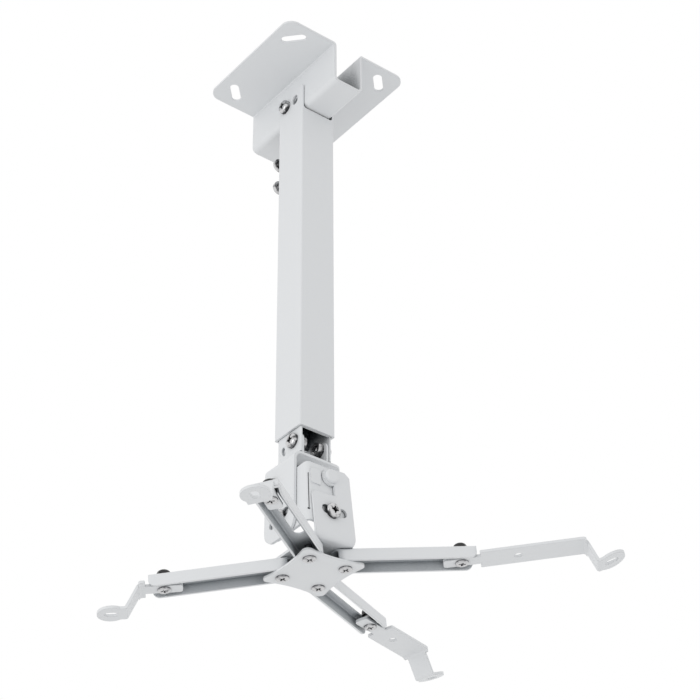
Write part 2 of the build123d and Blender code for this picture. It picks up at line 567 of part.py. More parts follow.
def deck():
    """Roll plate at the front, with the pivot's lobe, folded back at its foot into the base above the arms."""
    half = DECK_HALF_BASE
    rear_y = SPIDER_Y + half
    points = ((DECK_FRONT_Y, ROLL_Z + DECK_LOBE), (DECK_FRONT_Y, ARM_TOP_Z), (rear_y, ARM_TOP_Z))
    section = folded(points, DECK_FOLD + DECK_SHEET, DECK_SHEET, Side.LEFT)
    plane = Plane((SPIDER_X - half, 0, 0), x_dir=(0, 1, 0), z_dir=(1, 0, 0))
    body = extrude(plane * section, 2 * half)
    below = ARM_TOP_Z - 1
    shoulder = DECK_TOP_Z - DECK_SHOULDER_DROP
    outline = Polygon((DECK_LEFT_X, below), (DECK_RIGHT_X, below), (DECK_RIGHT_X, shoulder),
                      (DECK_SHOULDER_X, DECK_TOP_Z), (DECK_STEP_X, DECK_TOP_Z), (DECK_STEP_X, DECK_LEFT_TOP_Z),
                      (DECK_LEFT_X, DECK_LEFT_TOP_Z), align=None)
    outline = fillet(outline.vertices().sort_by_distance((DECK_LEFT_X, DECK_LEFT_TOP_Z, 0))[0], DECK_CORNER)
    outline += Pos(0, ROLL_Z) * Circle(DECK_LOBE)
    front = Plane((0, DECK_FRONT_Y - 1, 0), x_dir=(1, 0, 0), z_dir=(0, -1, 0))
    plate_depth = 1 + DECK_SHEET + DECK_FOLD
    fold_y = DECK_FRONT_Y - 1 + plate_depth
    left_x = SPIDER_X - half
    right_x = SPIDER_X + half
    front_y = SPIDER_Y - half
    plan = Polygon((DECK_LEFT_X, fold_y), (DECK_RIGHT_X, fold_y), (right_x, front_y), (right_x, rear_y),
                   (left_x, rear_y), (left_x, front_y), align=None)
    plan = fillet(plan.vertices().group_by(Axis.Y)[-1], DECK_BASE_MARGIN)
    base = Pos(0, 0, below) * extrude(plan, 1 + 2 * DECK_SHEET)
    body &= extrude(front * outline, -plate_depth) + base
    body -= drill(0, DECK_FRONT_Y, ROLL_Z, (0, 1, 0), M6 + 2 * RUNNING_PLAY, 4 * DECK_SHEET)
    view = Plane((0, DECK_FRONT_Y - 1, ROLL_Z), x_dir=(1, 0, 0), z_dir=(0, -1, 0))
    slot = arc_slot(ROLL_CLAMP_RADIUS, -90, SET_SWING, M6 + 2 * HOLE_PLAY)
    body -= extrude(view * slot, -4 * DECK_SHEET)
    for x, y in corners():
        body -= drill(x, y, ARM_TOP_Z, (0, 0, 1), M5 + 2 * RUNNING_PLAY, 4 * DECK_SHEET)
    return rolled(body)


def spider_plate():
    """Square lower plate with hollow sides and rounded tips."""
    tip = SPIDER_TIP
    waist = SPIDER_WAIST
    tips = [(-tip, -tip), (tip, -tip), (tip, tip), (-tip, tip)]
    middles = [(0, -waist), (waist, 0), (0, waist), (-waist, 0)]
    sides = [ThreePointArc(tips[i], middles[i], tips[(i + 1) % 4]) for i in range(4)]
    outline = fillet(make_face(sides).vertices(), 4.0)
    body = Pos(SPIDER_X, SPIDER_Y, SPIDER_BOTTOM_Z) * extrude(outline, SPIDER_SHEET)
    for x, y in corners():
        body -= drill(x, y, SPIDER_BOTTOM_Z, (0, 0, 1), M5 + HOLE_PLAY, 4 * SPIDER_SHEET)
    return rolled(body)


def corner_screws():
    """Four screws on which the arms swing, from below into the deck's base."""
    reach = SPIDER_SHEET + ARM_DEPTH + DECK_SHEET + 0.8
    screw = pan_screw(M5, M5_HEAD, M5_HEAD_HEIGHT, reach)
    return [rolled(facing(x, y, SPIDER_BOTTOM_Z, (0, 0, -1)) * screw) for x, y in corners()]


def arm_place(signs, angle):
    """Location of an arm's own frame: the corner screw's axis, X along the arm."""
    x, y = corner(*signs)
    return Pos(x, y, SPIDER_TOP_Z) * Rot(0, 0, angle)


def bar_place(signs, angle, swing):
    """Location of a bar's own frame: the lock screw's axis, X along the bar."""
    return arm_place(signs, angle) * Pos(ARM_LOCK, 0, 0) * Rot(0, 0, swing)


def arm_channel():
    """Channel open downward with a long slot in its web, in its own frame."""
    half = ARM_WIDTH / 2
    points = ((-half, 0), (-half, ARM_DEPTH), (half, ARM_DEPTH), (half, 0))
    section = folded(points, 1.0 + ARM_SHEET, ARM_SHEET, Side.RIGHT)
    plane = Plane((-half, 0, 0), x_dir=(0, 1, 0), z_dir=(1, 0, 0))
    body = extrude(plane * section, ARM_LENGTH + half)
    plan = Pos(ARM_LENGTH / 2 - half / 2, 0) * Rectangle(ARM_LENGTH + half, ARM_WIDTH)
    plan = fillet(plan.vertices().group_by(Axis.X)[0], half - 0.05)
    plan = fillet(plan.vertices().group_by(Axis.X)[-1], 2.0)
    body &= Pos(0, 0, -1) * extrude(plan, ARM_DEPTH + 2)
    side = Pos(-half, 0) * Rectangle(ARM_LENGTH + half, ARM_DEPTH, align=(Align.MIN, Align.MIN))
    foot = side.vertices().group_by(Axis.Y)[0].sort_by(Axis.X)[-1]
    side = fillet(foot, ARM_END_RADIUS)
    view = Plane((0, half + 1, 0), x_dir=(1, 0, 0), z_dir=(0, -1, 0))
    body &= extrude(view * side, ARM_WIDTH + 2)
    body -= drill(0, 0, ARM_DEPTH, (0, 0, 1), M5 + 2 * RUNNING_PLAY, 4 * ARM_SHEET)
    slot_length = ARM_LOCK + ARM_SLOT_WIDTH / 2 - ARM_SLOT_START
    slot = Pos(ARM_SLOT_START + slot_length / 2, 0) * SlotOverall(slot_length, ARM_SLOT_WIDTH)
    return body - Pos(0, 0, ARM_DEPTH - 2 * ARM_SHEET) * extrude(slot, 4 * ARM_SHEET)


def extension_bar(flat, run, lift, hole):
    """Flat bar with a tongue in the channel, a step down and a rounded pad, in its own frame."""
    drop = BAR_STEP_DROP
    pad_run = BAR_PAD_LENGTH * math.cos(math.radians(lift))
    pad_rise = BAR_PAD_LENGTH * math.sin(math.radians(lift))
    end = flat + run + pad_run
    pad_z = BAR_LIFT - drop
    points = ((-BAR_TONGUE, BAR_LIFT), (flat, BAR_LIFT), (flat + run, pad_z), (end, pad_z + pad_rise))
    section = folded(points, BAR_FOLD, BAR_SHEET, Side.LEFT)
    plane = Plane((0, BAR_BODY_WIDTH, 0), x_dir=(1, 0, 0), z_dir=(0, -1, 0))
    body = extrude(plane * section, 2 * BAR_BODY_WIDTH)
    start = (Align.MIN, Align.CENTER)
    tongue = Pos(-BAR_TONGUE, 0) * Rectangle(BAR_TONGUE + flat, BAR_TONGUE_WIDTH, align=start)
    tongue = fillet(tongue.vertices().group_by(Axis.X)[0], 2.5)
    wide = Pos(BAR_SHOULDER, 0) * Rectangle(flat - BAR_SHOULDER + 1.0, BAR_BODY_WIDTH, align=start)
    centre = end - BAR_PAD_WIDTH / 2
    neck = Pos(flat, 0) * Rectangle(centre - flat, BAR_STEP_WIDTH, align=start)
    plan = tongue + fillet(wide.vertices(), 1.0) + neck + Pos(centre, 0) * Circle(BAR_PAD_WIDTH / 2)
    body &= Pos(0, 0, -2 * drop) * extrude(plan, 4 * drop)
    body -= drill(0, 0, BAR_LIFT, (0, 0, 1), M5 + 2 * RUNNING_PLAY, 4 * BAR_SHEET)
    body -= Pos(centre, 0, -2 * drop) * extrude(SlotOverall(BAR_HOLE + BAR_HOLE_RUN, BAR_HOLE), 4 * drop)
    if hole:
        body -= drill(hole, 0, BAR_LIFT, (0, 0, 1), BAR_HOLE, 4 * BAR_SHEET)
    return body


def lock_screw():
    """Screw from below through bar and channel, in the arm's own frame."""
    reach = ARM_DEPTH - BAR_LIFT + LOCK_REACH
    screw = pan_screw(M5, M5_HEAD, M5_HEAD_HEIGHT, reach)
    return facing(ARM_LOCK, 0, BAR_LIFT, (0, 0, -1)) * screw


def lock_sleeve():
    """Sleeve between the bar and the channel's web, in the arm's own frame."""
    height = ARM_DEPTH - ARM_SHEET - BAR_LIFT - BAR_SHEET
    sleeve = washer(LOCK_SLEEVE, M5 + HOLE_PLAY, height)
    return Pos(ARM_LOCK, 0, BAR_LIFT + BAR_SHEET) * sleeve


def knob_nut():
    """Domed black nut on top of the channel, in the arm's own frame."""
    flange = Cylinder(KNOB_WIDTH / 2, KNOB_FLANGE, align=(Align.CENTER, Align.CENTER, Align.MIN))
    body = extrude(RegularPolygon(KNOB_WIDTH * 0.42, 6, major_radius=False), KNOB_HEIGHT)
    dome = Cylinder(KNOB_WIDTH * 0.47, KNOB_HEIGHT, align=(Align.CENTER, Align.CENTER, Align.MIN))
    dome = fillet(dome.edges().group_by(Axis.Z)[-1], KNOB_WIDTH * 0.3)
    bore = Cylinder(M5 / 2, LOCK_REACH, align=(Align.CENTER, Align.CENTER, Align.MIN))
    return Pos(ARM_LOCK, 0, ARM_DEPTH) * (flange + (body & dome) - bore)


def write(name, shape):
    """Write one sub-part, a shape or a group of separate shapes, to its own file."""
    if isinstance(shape, list):
        shape = Compound(children=[piece.solid() for piece in shape])
    export_step(shape, os.path.join("parts", name + ".step"))


def main():
    """Build every sub-part and write it."""
    os.makedirs("parts", exist_ok=True)
    single = (
        ceiling_bracket, outer_tube, inner_tube, tilt_bolt, tilt_washer, tilt_nut, height_screws, height_washers,
        height_nuts, low_pivot_screws, low_pivot_nuts, tilt_cradle, swivel_bolt, swivel_washers, swivel_nut,
        swivel_head, pitch_screw, pitch_nut, pitch_clamp_screw, pitch_clamp_nut, tilt_block, roll_pivot,
        roll_clamp_screw, roll_clamp_nut, deck, spider_plate, corner_screws,
    )
    for build in single:
        write(build.__name__, build())
    channel = arm_channel()
    screw = lock_screw()
    sleeve = lock_sleeve()
    knob = knob_nut()
    for name, signs, angle, swing, flat, run, lift, hole in ARMS:
        place = arm_place(signs, angle)
        write(name + "_arm", rolled(place * channel))
        write(name + "_lock_screw", rolled(place * screw))
        write(name + "_lock_sleeve", rolled(place * sleeve))
        write(name + "_knob_nut", rolled(place * knob))
        bar = extension_bar(flat, run, lift, hole)
        write(name + "_bar", rolled(bar_place(signs, angle, swing) * bar))


main()
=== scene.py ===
"""Looks of a projector ceiling mount: finishes, screw threads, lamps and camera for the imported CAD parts."""

import json
import logging
import math
from abc import ABC, abstractmethod
from dataclasses import dataclass, field
from enum import Enum

import bpy
from mathutils import Matrix, Vector

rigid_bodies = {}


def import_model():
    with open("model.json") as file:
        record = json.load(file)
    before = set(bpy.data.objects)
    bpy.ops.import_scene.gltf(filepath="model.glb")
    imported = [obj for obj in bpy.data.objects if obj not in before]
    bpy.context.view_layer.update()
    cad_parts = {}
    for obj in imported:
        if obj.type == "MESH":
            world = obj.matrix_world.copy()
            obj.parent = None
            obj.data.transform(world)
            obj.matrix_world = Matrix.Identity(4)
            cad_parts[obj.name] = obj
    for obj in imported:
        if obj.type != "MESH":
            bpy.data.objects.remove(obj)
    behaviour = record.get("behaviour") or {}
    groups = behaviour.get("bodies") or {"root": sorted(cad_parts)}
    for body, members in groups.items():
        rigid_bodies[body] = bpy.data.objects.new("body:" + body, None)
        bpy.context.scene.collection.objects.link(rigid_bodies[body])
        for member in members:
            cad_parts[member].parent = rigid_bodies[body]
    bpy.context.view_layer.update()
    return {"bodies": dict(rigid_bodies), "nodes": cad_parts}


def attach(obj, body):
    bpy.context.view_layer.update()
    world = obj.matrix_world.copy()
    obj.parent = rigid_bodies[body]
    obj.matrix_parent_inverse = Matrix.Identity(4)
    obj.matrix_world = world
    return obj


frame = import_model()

logger = logging.getLogger("projector_mount")

MM = 0.001
ARM_NAMES = ("left", "front", "right", "rear")
SHADE_SAMPLES = 8
BEVEL_SAMPLES = 4
RELIEF_STRENGTH = 0.6

Socket = bpy.types.NodeSocket
Colour = tuple[float, float, float]
Point = tuple[float, float, float]
Stops = tuple[tuple[float, Colour], ...]
Shares = tuple[tuple[float, float], ...]

# The camera that matches the photo, in radians, pixels and millimetres
CAMERA_AZIMUTH = -0.6672957394450887
CAMERA_ELEVATION = -0.6038080134475926
CAMERA_ROLL = -0.010136300090666621
CAMERA_FOCAL_PX = 1966.1082432202882
CAMERA_SHIFT_X = 34.19158045110338
CAMERA_SHIFT_Y = -207.6715335794426
CAMERA_DISTANCE = 1549.2355914113587
IMAGE_SIDE_PX = 700
SENSOR_MM = 36.0


class Slot(Enum):
    """Names of the record's material slots."""

    WHITE_POWDER_COAT = "white_powder_coat"
    BRIGHT_SCREW = "bright_screw"
    ZINC_HARDWARE = "zinc_hardware"
    BLACK_KNOB = "black_knob"


class NodeTree:
    """Short way to add and wire shader nodes."""

    def __init__(self, tree: bpy.types.NodeTree) -> None:
        """Start on an empty tree.

        Args:
            tree: the shader node tree to fill.
        """
        self.tree = tree
        self.tree.nodes.clear()

    def add(self, kind: str, settings: dict[str, object] | None = None, **inputs: object) -> bpy.types.Node:
        """Add a node and set its sockets.

        Args:
            kind: the node's type, without the ShaderNode prefix.
            settings: properties of the node itself.
            inputs: socket values or output sockets, by socket name with underscores for spaces.

        Returns:
            The new node.
        """
        node = self.tree.nodes.new("ShaderNode" + kind)
        for name, value in (settings or {}).items():
            setattr(node, name, value)
        for name, value in inputs.items():
            self.put(node, name.replace("_", " "), value)
        return node

    def put(self, node: bpy.types.Node, socket: str | int, value: object) -> None:
        """Link or set one input socket.

        Args:
            node: the node that has the socket.
            socket: the socket's name or number.
            value: an output socket, or a plain value.
        """
        if isinstance(value, Socket):
            self.tree.links.new(value, node.inputs[socket])
        else:
            node.inputs[socket].default_value = value

    def math(self, operation: str, first: object, second: object = 0.0) -> Socket:
        """Add a math node.

        Args:
            operation: the node's operation.
            first: the first operand.
            second: the second operand.

        Returns:
            The result's socket.
        """
        node = self.tree.nodes.new("ShaderNodeMath")
        node.operation = operation
        self.put(node, 0, first)
        self.put(node, 1, second)
        return node.outputs[0]

    def ramp(self, factor: Socket, stops: Stops) -> Socket:
        """Add a colour ramp.

        Args:
            factor: the socket that drives it.
            stops: positions and linear colours, in order.

        Returns:
            The colour socket.
        """
        node = self.tree.nodes.new("ShaderNodeValToRGB")
        elements = node.color_ramp.elements
        while len(elements) < len(stops):
            elements.new(0.5)
        for element, (position, colour) in zip(elements, stops):
            element.position = position
            element.color = (*colour, 1.0)
        self.put(node, "Fac", factor)
        return node.outputs["Color"]

    def shade(self, reach: float, only_local: bool = False) -> Socket:
        """Add ambient shade: 1 in the open, 0 deep in a hollow.

        Args:
            reach: how far it looks for a surface that shades, in metres.
            only_local: whether only the object itself shades.

        Returns:
            The shade's socket.
        """
        settings = {"samples": SHADE_SAMPLES, "only_local": only_local}
        return self.add("AmbientOcclusion", settings, Distance=reach).outputs["AO"]

    def span(self, factor: Socket, low: float, high: float) -> Socket:
        """Map 0 to 1 onto another range.

        Args:
            factor: the socket that drives it.
            low: the result at 0.
            high: the result at 1.

        Returns:
            The mapped socket.
        """
        node = self.tree.nodes.new("ShaderNodeMapRange")
        self.put(node, "Value", factor)
        self.put(node, "To Min", low)
        self.put(node, "To Max", high)
        return node.outputs["Result"]


@dataclass(frozen=True)
class Finish(ABC):
    """A finish of the object: one record slot and one procedural material."""

    slot: Slot
    name: str = "finish"

    def material(self) -> bpy.types.Material:
        """Return the finish's material, made on first use."""
        full_name = self.slot.value + "_" + self.name
        found = bpy.data.materials.get(full_name)
        if found is None:
            found = bpy.data.materials.new(full_name)
            found.use_nodes = True
            nodes = NodeTree(found.node_tree)
            output = nodes.add("OutputMaterial")
            nodes.put(output, "Surface", self.surface(nodes))
        return found

    @abstractmethod
    def surface(self, nodes: NodeTree) -> Socket:
        """Wire the surface and return its shader socket."""

    def relief(self, nodes: NodeTree, height: Socket, depth: float, edge: float) -> Socket:
        """Normal of a surface with fine relief and slightly rounded edges.

        Args:
            nodes: the tree to add to.
            height: the relief's height, 0 to 1.
            depth: the relief's depth in metres.
            edge: the edge radius in metres.

        Returns:
            The normal socket.
        """
        rounded = nodes.add("Bevel", {"samples": BEVEL_SAMPLES}, Radius=edge)
        bump = nodes.add("Bump", None, Strength=RELIEF_STRENGTH, Distance=depth, Height=height)
        nodes.put(bump, "Normal", rounded.outputs["Normal"])
        return bump.outputs["Normal"]

    def noise(self, nodes: NodeTree, scale: float, detail: float) -> Socket:
        """Noise in the object's own coordinates.

        Args:
            nodes: the tree to add to.
            scale: features per metre.
            detail: octaves.

        Returns:
            The noise's value socket.
        """
        place = nodes.add("TexCoord")
        texture = nodes.add("TexNoise", None, Vector=place.outputs["Object"], Scale=scale, Detail=detail)
        return texture.outputs["Fac"]


# Painted shade: shares of the coat's full light that its colour keeps at amounts of ambient shade, from a
# closed hollow to the open
OPEN_SHARES: Shares = ((0.0, 0.02), (0.20, 0.12), (0.33, 0.40), (0.42, 0.90), (0.50, 1.0))
# Deeper painted shade for the insides of the arm channels
CHANNEL_SHARES: Shares = ((0.0, 0.02), (0.22, 0.20), (0.42, 0.54), (0.62, 0.72), (0.80, 1.0))
# Deeper painted shade for the ceiling bracket, with darker middle stops
BRACKET_SHARES: Shares = ((0.0, 0.02), (0.20, 0.10), (0.34, 0.26), (0.42, 0.50), (0.48, 1.0))


@dataclass(frozen=True)
class PowderCoat(Finish):
    """Off-white powder coat on steel sheet: fine orange peel, with painted shade that darkens its colour in
    the hollows and where other parts are near.
    """

    slot: Slot = Slot.WHITE_POWDER_COAT
    light: Colour = (0.775, 0.790, 0.805)
    low_roughness: float = 0.38
    high_roughness: float = 0.47
    gloss: float = 0.35
    peel_scale: float = 900.0
    peel_detail: float = 3.0
    peel_depth: float = 0.00004
    edge_radius: float = 0.0005
    drift: float = 0.03
    drift_scale: float = 22.0
    drift_detail: float = 2.0
    # Painted shade: reaches of the ambient shade that darkens the colour, its cool tint and its ramp
    shade_reach: float = 0.042
    contact_shade_reach: float = 0.016
    contact_shade_ease: float = 0.12
    painted_shade_tint: Colour = (0.84, 0.93, 1.0)
    shares: Shares = OPEN_SHARES

    def tone(self, share: float) -> Colour:
        """Painted shade colour of the coat at a share of its full light, cooler where the painted shade is
        darker.

        Args:
            share: the share of the full light, 0 to 1.

        Returns:
            The linear colour.
        """
        shade_tints = zip(self.light, self.painted_shade_tint)
        red, green, blue = (part * share * (cast + (1 - cast) * share) for part, cast in shade_tints)
        return red, green, blue

    def surface(self, nodes: NodeTree) -> Socket:
        """Wire the coat.

        Args:
            nodes: the tree to add to.

        Returns:
            The shader socket.
        """
        peel = self.noise(nodes, self.peel_scale, self.peel_detail)
        cloud = self.noise(nodes, self.drift_scale, self.drift_detail)
        # Painted shade: ambient shade from the part itself and from parts close to it darkens the coat's
        # colour through the ramp
        hollow = nodes.shade(self.shade_reach, only_local=True)
        contact_shade = nodes.math("ADD", nodes.shade(self.contact_shade_reach), self.contact_shade_ease)
        drift = nodes.span(cloud, -self.drift, self.drift)
        factor = nodes.math("ADD", nodes.math("MINIMUM", hollow, contact_shade), drift)
        colour = nodes.ramp(factor, tuple((place, self.tone(share)) for place, share in self.shares))
        normal = self.relief(nodes, peel, self.peel_depth, self.edge_radius)
        rough = nodes.span(peel, self.low_roughness, self.high_roughness)
        coat = nodes.add("BsdfPrincipled", None, Base_Color=colour, Roughness=rough, Normal=normal)
        nodes.put(coat, "Specular IOR Level", self.gloss)
        return coat.outputs["BSDF"]


@dataclass(frozen=True)
class PlatedMetal(Finish):
    """Plated steel with fine scratches; its colour has painted shade in its recesses and patchy clouding that
    is partly uneven plating and partly painted dark reflection.
    """

    light: float = 0.62
    dark: float = 0.12
    # Colour deep in recesses: painted shade
    deep: float = 0.02
    dark_place: float = 0.30
    light_place: float = 0.62
    low_roughness: float = 0.12
    high_roughness: float = 0.24
    cloud_scale: float = 350.0
    # Range of the patches: uneven plating and painted dark reflections
    cloud_reflection_low: float = -0.30
    cloud_reflection_high: float = 1.05
    shade_reach: float = 0.006
    scratch_scale: float = 2400.0
    scratch_detail: float = 2.0
    scratch_depth: float = 0.00001
    edge_radius: float = 0.00025

    def surface(self, nodes: NodeTree) -> Socket:
        """Wire the metal.

        Args:
            nodes: the tree to add to.

        Returns:
            The shader socket.
        """
        # Painted shade and painted dark reflection: the colour darkens in recesses and in random patches, a
        # little bluer where darker
        cloud = self.noise(nodes, self.cloud_scale, 1.0)
        plating_and_reflection_patches = nodes.span(cloud, self.cloud_reflection_low, self.cloud_reflection_high)
        factor = nodes.math("SUBTRACT", nodes.shade(self.shade_reach), plating_and_reflection_patches)
        stops = (
            (0.0, (self.deep, self.deep, self.deep * 1.1)),
            (self.dark_place, (self.dark, self.dark, self.dark * 1.03)),
            (self.light_place, (self.light, self.light, self.light * 1.01)),
        )
        colour = nodes.ramp(factor, stops)
        scratches = self.noise(nodes, self.scratch_scale, self.scratch_detail)
        normal = self.relief(nodes, scratches, self.scratch_depth, self.edge_radius)
        rough = nodes.span(cloud, self.low_roughness, self.high_roughness)
        metal = nodes.add("BsdfPrincipled", None, Base_Color=colour, Metallic=1.0, Roughness=rough)
        nodes.put(metal, "Normal", normal)
        return metal.outputs["BSDF"]


@dataclass(frozen=True)
class BlackPlastic(Finish):
    """Glossy black moulded nut cap."""

    slot: Slot = Slot.BLACK_KNOB
    dark: Colour = (0.010, 0.010, 0.011)
    light: Colour = (0.020, 0.020, 0.021)
    dark_place: float = 0.3
    light_place: float = 0.7
    grain_scale: float = 1500.0
    grain_detail: float = 2.0
    grain_depth: float = 0.00002
    edge_radius: float = 0.0003
    low_roughness: float = 0.22
    high_roughness: float = 0.34

    def surface(self, nodes: NodeTree) -> Socket:
        """Wire the plastic.

        Args:
            nodes: the tree to add to.

        Returns:
            The shader socket.
        """
        grain = self.noise(nodes, self.grain_scale, self.grain_detail)
        colour = nodes.ramp(grain, ((self.dark_place, self.dark), (self.light_place, self.light)))
        normal = self.relief(nodes, grain, self.grain_depth, self.edge_radius)
        rough = nodes.span(grain, self.low_roughness, self.high_roughness)
        plastic = nodes.add("BsdfPrincipled", None, Base_Color=colour, Roughness=rough, Normal=normal)
        return plastic.outputs["BSDF"]


POWDER_COAT = PowderCoat()
# Copy of the coat with deeper painted shade, for the ceiling bracket
BRACKET_SHADED_COAT = PowderCoat(name="bracket_deeper_shade", shade_reach=0.07, drift=0.012, shares=BRACKET_SHARES)
# Copy of the coat with deeper painted shade, for the insides of the arm channels
CHANNEL_SHADED_COAT = PowderCoat(name="channel_deeper_shade", shares=CHANNEL_SHARES)
BRIGHT_SCREW = PlatedMetal(Slot.BRIGHT_SCREW)
# Copy of the bright screw metal with lighter painted shade and weaker painted dark reflection, for the corner
# and lock screws
LIGHTER_SHADED_SCREW = PlatedMetal(Slot.BRIGHT_SCREW, name="corner_lighter_shade", light=0.58, dark=0.34, deep=0.10)
ZINC = PlatedMetal(Slot.ZINC_HARDWARE, light=0.50, dark=0.14, low_roughness=0.28, high_roughness=0.44)
BLACK_KNOB = BlackPlastic()


def body_of(node: str) -> str:
    """Return the name of the body that a CAD node rides on."""
    parent = frame["nodes"][node].parent
    return next(name for name, empty in frame["bodies"].items() if empty == parent)


def dress_node(node: str, finish: Finish) -> None:
    """Give a CAD node its finish.

    Args:
        node: the node's name.
        finish: the finish it takes.
    """
    piece = frame["nodes"][node]
    if not piece.material_slots:
        piece.data.materials.append(None)
    for place in piece.material_slots:
        place.link = "OBJECT"
        place.material = finish.material()
    logger.info("dressed %s with %s", node, finish.slot.value)


@dataclass(frozen=True)
class Thread:
    """A run of screw thread, built as one helical ridge round a shank."""

    name: str
    node: str
    start: Point
    direction: Point
    length: float
    radius: float = 3.0
    pitch: float = 1.0
    height: float = 0.22
    root: float = 0.12
    half_width: float = 0.4
    taper: float = 6.0
    steps: int = 28
    finish: Finish = BRIGHT_SCREW

    def vertices(self, turns: float, count: int) -> list[Vector]:
        """Points of the ridge, three to each step: root, crest, root.

        Args:
            turns: how often the ridge goes round.
            count: the number of steps.

        Returns:
            The points, in metres.
        """
        axis = Vector(self.direction).to_track_quat("Z", "Y").to_matrix().to_4x4()
        to_world = Matrix.Scale(MM, 4) @ Matrix.Translation(self.start) @ axis
        points = []
        for index in range(count + 1):
            share = index / count
            angle = share * turns * 2 * math.pi
            rise = self.pitch / 2 + share * (self.length - self.pitch)
            crest = self.height * min(1.0, self.taper * share, self.taper * (1 - share))
            section = ((-self.root, -self.half_width), (crest, 0.0), (-self.root, self.half_width))
            for radius, offset in section:
                reach = self.radius + radius
                point = (reach * math.cos(angle), reach * math.sin(angle), rise + offset * self.pitch)
                points.append(to_world @ Vector(point))
        return points

    def faces(self, count: int) -> list[tuple[int, ...]]:
        """Faces between the ridge's steps, and one at either end.

        Args:
            count: the number of steps.

        Returns:
            The faces, as numbers of points.
        """
        found = [(0, 2, 1), (3 * count, 3 * count + 1, 3 * count + 2)]
        for index in range(count):
            first = 3 * index
            for side in range(3):
                after = (side + 1) % 3
                found.append((first + side, first + after, first + 3 + after, first + 3 + side))
        return found

    def build(self) -> bpy.types.Object:
        """Sweep the ridge, ride it on its screw's body and return it."""
        turns = (self.length - self.pitch) / self.pitch
        count = max(int(turns * self.steps), self.steps)
        mesh = bpy.data.meshes.new(self.name)
        mesh.from_pydata(self.vertices(turns, count), [], self.faces(count))
        mesh.materials.append(self.finish.material())
        ridge = bpy.data.objects.new(self.name, mesh)
        bpy.context.scene.collection.objects.link(ridge)
        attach(ridge, body_of(self.node))
        logger.info("built %s on %s", self.name, self.node)
        return ridge


@dataclass
class SubAssembly(ABC):
    """A group of CAD nodes with their finishes and the added detail that rides with them."""

    nodes: dict[str, Finish] = field(default_factory=dict)
    threads: tuple[Thread, ...] = ()

    @abstractmethod
    def __post_init__(self) -> None:
        """Fill in the nodes and threads."""

    def build(self) -> list[bpy.types.Object]:
        """Build the added pieces and return them."""
        return [thread.build() for thread in self.threads]

    def dress(self) -> None:
        """Give every CAD node of the group its finish."""
        for node, finish in self.nodes.items():
            dress_node(node, finish)


@dataclass
class CeilingGroup(SubAssembly):
    """Ceiling bracket and the bolt on which the column tilts."""

    bolt_y: float = 6.6
    bolt_z: float = -25.9
    nut_face_x: float = 21.2
    thread_length: float = 1.5
    thread_radius: float = 2.85

    def __post_init__(self) -> None:
        """Fill in the nodes and threads."""
        self.nodes = {"ceiling_bracket": BRACKET_SHADED_COAT, "tilt_bolt": BRIGHT_SCREW,
                      "tilt_washer": ZINC, "tilt_nut": ZINC}
        start = (self.nut_face_x, self.bolt_y, self.bolt_z)
        name = "tilt_bolt_thread"
        thread = Thread(name, "tilt_bolt", start, (1, 0, 0), self.thread_length, self.thread_radius)
        self.threads = (thread,)


@dataclass
class ColumnGroup(SubAssembly):
    """Column, sliding tube and the two height screws with their bare threads."""

    screw_z: float = -58.4
    screw_pitch: float = 22.4
    washer_face_y: float = 16.2
    thread_length: float = 14.5

    def __post_init__(self) -> None:
        """Fill in the nodes and threads."""
        self.nodes = {"outer_tube": POWDER_COAT, "inner_tube": POWDER_COAT, "height_screws": BRIGHT_SCREW,
                      "height_washers": ZINC, "height_nuts": ZINC}
        threads = []
        for index, name in enumerate(("upper_height_thread", "lower_height_thread")):
            start = (0.0, self.washer_face_y, self.screw_z - index * self.screw_pitch)
            threads.append(Thread(name, "height_screws", start, (0, 1, 0), self.thread_length))
        self.threads = tuple(threads)


@dataclass
class FootGroup(SubAssembly):
    """Tilting cradle inside the sliding tube's ears, and the swivel bolt."""

    def __post_init__(self) -> None:
        """Fill in the nodes."""
        self.nodes = {"tilt_cradle": POWDER_COAT, "low_pivot_screws": BRIGHT_SCREW, "low_pivot_nuts": ZINC,
                      "swivel_bolt": ZINC, "swivel_washers": ZINC, "swivel_nut": ZINC}


@dataclass
class HeadGroup(SubAssembly):
    """Swivel head, tilt block and the pivots between them."""

    def __post_init__(self) -> None:
        """Fill in the nodes."""
        self.nodes = {"swivel_head": POWDER_COAT, "tilt_block": POWDER_COAT, "pitch_screw": BRIGHT_SCREW,
                      "pitch_nut": ZINC, "pitch_clamp_screw": BRIGHT_SCREW, "pitch_clamp_nut": ZINC,
                      "roll_pivot": POWDER_COAT, "roll_clamp_screw": BRIGHT_SCREW, "roll_clamp_nut": ZINC}


@dataclass
class DeckGroup(SubAssembly):
    """Deck, spider plate and the four screws between them."""

    def __post_init__(self) -> None:
        """Fill in the nodes."""
        self.nodes = {"deck": POWDER_COAT, "spider_plate": POWDER_COAT, "corner_screws": LIGHTER_SHADED_SCREW}


@dataclass
class ArmGroup(SubAssembly):
    """One arm with its extension bar and the lock screw, sleeve and knob nut between them."""

    name: str = "left"

    def __post_init__(self) -> None:
        """Fill in the nodes."""
        self.nodes = {self.name + "_arm": CHANNEL_SHADED_COAT, self.name + "_bar": POWDER_COAT,
                      self.name + "_lock_screw": LIGHTER_SHADED_SCREW, self.name + "_lock_sleeve": ZINC,
                      self.name + "_knob_nut": BLACK_KNOB}


